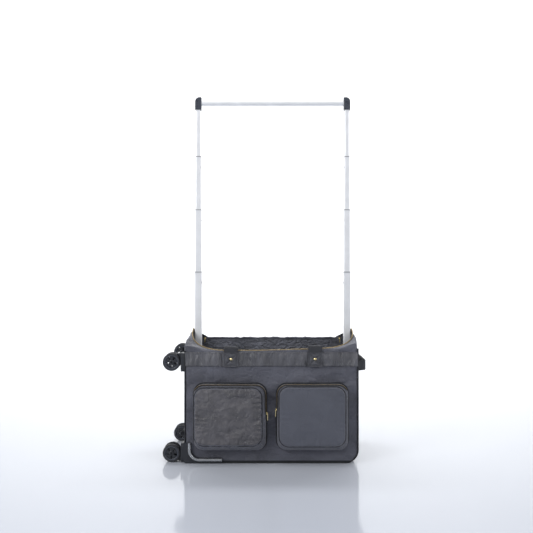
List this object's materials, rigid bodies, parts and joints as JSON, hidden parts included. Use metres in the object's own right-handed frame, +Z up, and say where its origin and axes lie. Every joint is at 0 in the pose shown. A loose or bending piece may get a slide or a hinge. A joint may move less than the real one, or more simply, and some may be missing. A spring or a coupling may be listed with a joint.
{
  "type": "soft rolling garment case with telescopic rack",
  "caption": "Soft charcoal rolling case on its long side with spinner casters, two zipped front pockets and a telescopic garment rack standing out of its open mouth",
  "frame": {"origin": "middle of the flat base that the case lies on", "axes": "X along the case from the wheel end to the handle end, Y from the front to the back, Z up"},
  "size_m": [0.5725, 0.2855, 1.0395],
  "materials": {
    "charcoal_nylon": "woven nylon, slight sheen",
    "coated_fabric": "coated, crinkled, satin",
    "webbing": "ribbed webbing",
    "gold_zip": "woven tape with metallic gold teeth",
    "gold_metal": "polished light gold",
    "black_plastic": "moulded, fine grain",
    "silver_rail": "silver-grey, satin",
    "steel": "plain steel",
    "aluminium": "satin anodised"
  },
  "bodies": {
    "bag": {"front_panel": "charcoal_nylon", "back_panel": "charcoal_nylon", "base_panel": "black_plastic", "wheel_end_panel": "charcoal_nylon", "handle_end_panel": "charcoal_nylon", "front_band": "coated_fabric", "handle_tabs": "webbing", "handle_rivets": "gold_metal", "mouth_zip": "gold_zip", "lid_zip_sliders": "gold_metal", "left_pocket": "coated_fabric", "right_pocket": "charcoal_nylon", "pocket_zips": "gold_zip", "corner_guards": "black_plastic", "guard_rails": "silver_rail", "caster_cups": "black_plastic", "wheel_chassis": "black_plastic", "rack_brackets": "black_plastic", "left_rack_tube_0": "aluminium", "right_rack_tube_0": "aluminium", "trolley_outer_tubes": "aluminium"},
    "lid": {"lid_flap": "charcoal_nylon", "lid_zip": "gold_zip"},
    "carry_loop": {"carry_handle": "webbing"},
    "grab_loop": {"end_grab_handle": "webbing"},
    "left_puller": {"left_pocket_puller": "gold_metal"},
    "right_puller": {"right_pocket_puller": "gold_metal"},
    "rack_top": {"left_rack_tube_4": "aluminium", "right_rack_tube_4": "aluminium", "bar_caps": "black_plastic", "hanging_bar": "aluminium"},
    "trolley_stage": {"trolley_inner_tubes": "aluminium", "trolley_grip": "black_plastic"},
    "trolley_push": {"trolley_button": "silver_rail"},
    "upper_front_fork": {"upper_front_caster_fork": "black_plastic", "upper_front_caster_axle": "steel"},
    "upper_front_wheel": {"upper_front_caster_wheel": "black_plastic"},
    "upper_rear_fork": {"upper_rear_caster_fork": "black_plastic", "upper_rear_caster_axle": "steel"},
    "upper_rear_wheel": {"upper_rear_caster_wheel": "black_plastic"},
    "lower_front_fork": {"lower_front_caster_fork": "black_plastic", "lower_front_caster_axle": "steel"},
    "lower_front_wheel": {"lower_front_caster_wheel": "black_plastic"},
    "lower_rear_fork": {"lower_rear_caster_fork": "black_plastic", "lower_rear_caster_axle": "steel"},
    "lower_rear_wheel": {"lower_rear_caster_wheel": "black_plastic"},
    "left_stage_1": {"left_rack_tube_1": "aluminium"},
    "left_stage_2": {"left_rack_tube_2": "aluminium"},
    "left_stage_3": {"left_rack_tube_3": "aluminium"},
    "right_stage_1": {"right_rack_tube_1": "aluminium"},
    "right_stage_2": {"right_rack_tube_2": "aluminium"},
    "right_stage_3": {"right_rack_tube_3": "aluminium"},
    "left_snap_0": {"left_snap_button_0": "steel"},
    "left_snap_1": {"left_snap_button_1": "steel"},
    "left_snap_2": {"left_snap_button_2": "steel"},
    "left_snap_3": {"left_snap_button_3": "steel"},
    "right_snap_0": {"right_snap_button_0": "steel"},
    "right_snap_1": {"right_snap_button_1": "steel"},
    "right_snap_2": {"right_snap_button_2": "steel"},
    "right_snap_3": {"right_snap_button_3": "steel"}
  },
  "joints": [
    {"name": "lid_fold", "type": "hinge", "parent": "bag", "child": "lid", "pos_m": [0, 0.123, 0.317], "axis": [1, 0, 0], "range_deg": [0, 200]},
    {"name": "carry_handle_fold", "type": "hinge", "parent": "bag", "child": "carry_loop", "pos_m": [0, -0.111, 0.3173], "axis": [1, 0, 0], "range_deg": [0, 170]},
    {"name": "grab_handle_fold", "type": "hinge", "parent": "bag", "child": "grab_loop", "pos_m": [0.24165, 0, 0.275], "axis": [0, -1, 0], "range_deg": [0, 70]},
    {"name": "left_puller_swing", "type": "hinge", "parent": "bag", "child": "left_puller", "pos_m": [-0.0108, -0.14, 0.1415], "axis": [0, -1, 0], "range_deg": [0, 170]},
    {"name": "right_puller_swing", "type": "hinge", "parent": "bag", "child": "right_puller", "pos_m": [0.0108, -0.14, 0.1515], "axis": [0, 1, 0], "range_deg": [0, 170]},
    {"name": "upper_front_swivel", "type": "hinge", "parent": "bag", "child": "upper_front_fork", "pos_m": [-0.2505, -0.099, 0.2895], "axis": [1, 0, 0], "continuous": true},
    {"name": "upper_front_roll", "type": "hinge", "parent": "upper_front_fork", "child": "upper_front_wheel", "pos_m": [-0.2765, -0.099, 0.2765], "axis": [0, 1, 0], "continuous": true},
    {"name": "upper_rear_swivel", "type": "hinge", "parent": "bag", "child": "upper_rear_fork", "pos_m": [-0.2505, 0.099, 0.2895], "axis": [1, 0, 0], "continuous": true},
    {"name": "upper_rear_roll", "type": "hinge", "parent": "upper_rear_fork", "child": "upper_rear_wheel", "pos_m": [-0.2765, 0.099, 0.2765], "axis": [0, 1, 0], "continuous": true},
    {"name": "lower_front_swivel", "type": "hinge", "parent": "bag", "child": "lower_front_fork", "pos_m": [-0.2505, -0.099, 0.012], "axis": [1, 0, 0], "continuous": true},
    {"name": "lower_front_roll", "type": "hinge", "parent": "lower_front_fork", "child": "lower_front_wheel", "pos_m": [-0.2765, -0.099, 0.025], "axis": [0, 1, 0], "continuous": true},
    {"name": "lower_rear_swivel", "type": "hinge", "parent": "bag", "child": "lower_rear_fork", "pos_m": [-0.2505, 0.099, 0.012], "axis": [1, 0, 0], "continuous": true},
    {"name": "lower_rear_roll", "type": "hinge", "parent": "lower_rear_fork", "child": "lower_rear_wheel", "pos_m": [-0.2765, 0.099, 0.025], "axis": [0, 1, 0], "continuous": true},
    {"name": "left_stage_1_slide", "type": "slide", "parent": "bag", "child": "left_stage_1", "axis": [0, 0, 1], "range_m": [-0.2217, 0]},
    {"name": "left_stage_2_slide", "type": "slide", "parent": "left_stage_1", "child": "left_stage_2", "axis": [0, 0, 1], "range_m": [-0.1803, 0]},
    {"name": "left_stage_3_slide", "type": "slide", "parent": "left_stage_2", "child": "left_stage_3", "axis": [0, 0, 1], "range_m": [-0.1538, 0]},
    {"name": "right_stage_1_slide", "type": "slide", "parent": "bag", "child": "right_stage_1", "axis": [0, 0, 1], "range_m": [-0.2217, 0]},
    {"name": "right_stage_2_slide", "type": "slide", "parent": "right_stage_1", "child": "right_stage_2", "axis": [0, 0, 1], "range_m": [-0.1803, 0]},
    {"name": "right_stage_3_slide", "type": "slide", "parent": "right_stage_2", "child": "right_stage_3", "axis": [0, 0, 1], "range_m": [-0.1538, 0]},
    {"name": "rack_top_slide", "type": "slide", "parent": "left_stage_3", "child": "rack_top", "axis": [0, 0, 1], "range_m": [-0.1352, 0]},
    {"name": "left_snap_press_0", "type": "slide", "parent": "bag", "child": "left_snap_0", "axis": [-1, 0, 0], "range_m": [0, 0.001], "stiffness_N_per_m": 600, "springref_m": -0.0003},
    {"name": "left_snap_press_1", "type": "slide", "parent": "left_stage_1", "child": "left_snap_1", "axis": [-1, 0, 0], "range_m": [0, 0.00101]},
    {"name": "left_snap_press_2", "type": "slide", "parent": "left_stage_2", "child": "left_snap_2", "axis": [-1, 0, 0], "range_m": [0, 0.00101]},
    {"name": "left_snap_press_3", "type": "slide", "parent": "left_stage_3", "child": "left_snap_3", "axis": [-1, 0, 0], "range_m": [0, 0.00101]},
    {"name": "right_snap_press_0", "type": "slide", "parent": "bag", "child": "right_snap_0", "axis": [1, 0, 0], "range_m": [0, 0.001], "stiffness_N_per_m": 600, "springref_m": -0.0003},
    {"name": "right_snap_press_1", "type": "slide", "parent": "right_stage_1", "child": "right_snap_1", "axis": [1, 0, 0], "range_m": [0, 0.00101]},
    {"name": "right_snap_press_2", "type": "slide", "parent": "right_stage_2", "child": "right_snap_2", "axis": [1, 0, 0], "range_m": [0, 0.00101]},
    {"name": "right_snap_press_3", "type": "slide", "parent": "right_stage_3", "child": "right_snap_3", "axis": [1, 0, 0], "range_m": [0, 0.00101]},
    {"name": "trolley_slide", "type": "slide", "parent": "bag", "child": "trolley_stage", "axis": [1, 0, 0], "range_m": [0, 0.36]},
    {"name": "trolley_push_press", "type": "slide", "parent": "trolley_stage", "child": "trolley_push", "axis": [-1, 0, 0], "range_m": [0, 0.003], "stiffness_N_per_m": 400, "springref_m": -0.001}
  ],
  "couplings": [
    {"joint": "right_stage_1_slide", "follows": "left_stage_1_slide", "ratio": 1},
    {"joint": "right_stage_2_slide", "follows": "left_stage_2_slide", "ratio": 1},
    {"joint": "right_stage_3_slide", "follows": "left_stage_3_slide", "ratio": 1},
    {"joint": "left_snap_press_1", "follows": "left_stage_1_slide", "ratio": -0.0045106},
    {"joint": "left_snap_press_2", "follows": "left_stage_2_slide", "ratio": -0.0055463},
    {"joint": "left_snap_press_3", "follows": "left_stage_3_slide", "ratio": -0.006502},
    {"joint": "right_snap_press_1", "follows": "left_stage_1_slide", "ratio": -0.0045106},
    {"joint": "right_snap_press_2", "follows": "left_stage_2_slide", "ratio": -0.0055463},
    {"joint": "right_snap_press_3", "follows": "left_stage_3_slide", "ratio": -0.006502}
  ]
}
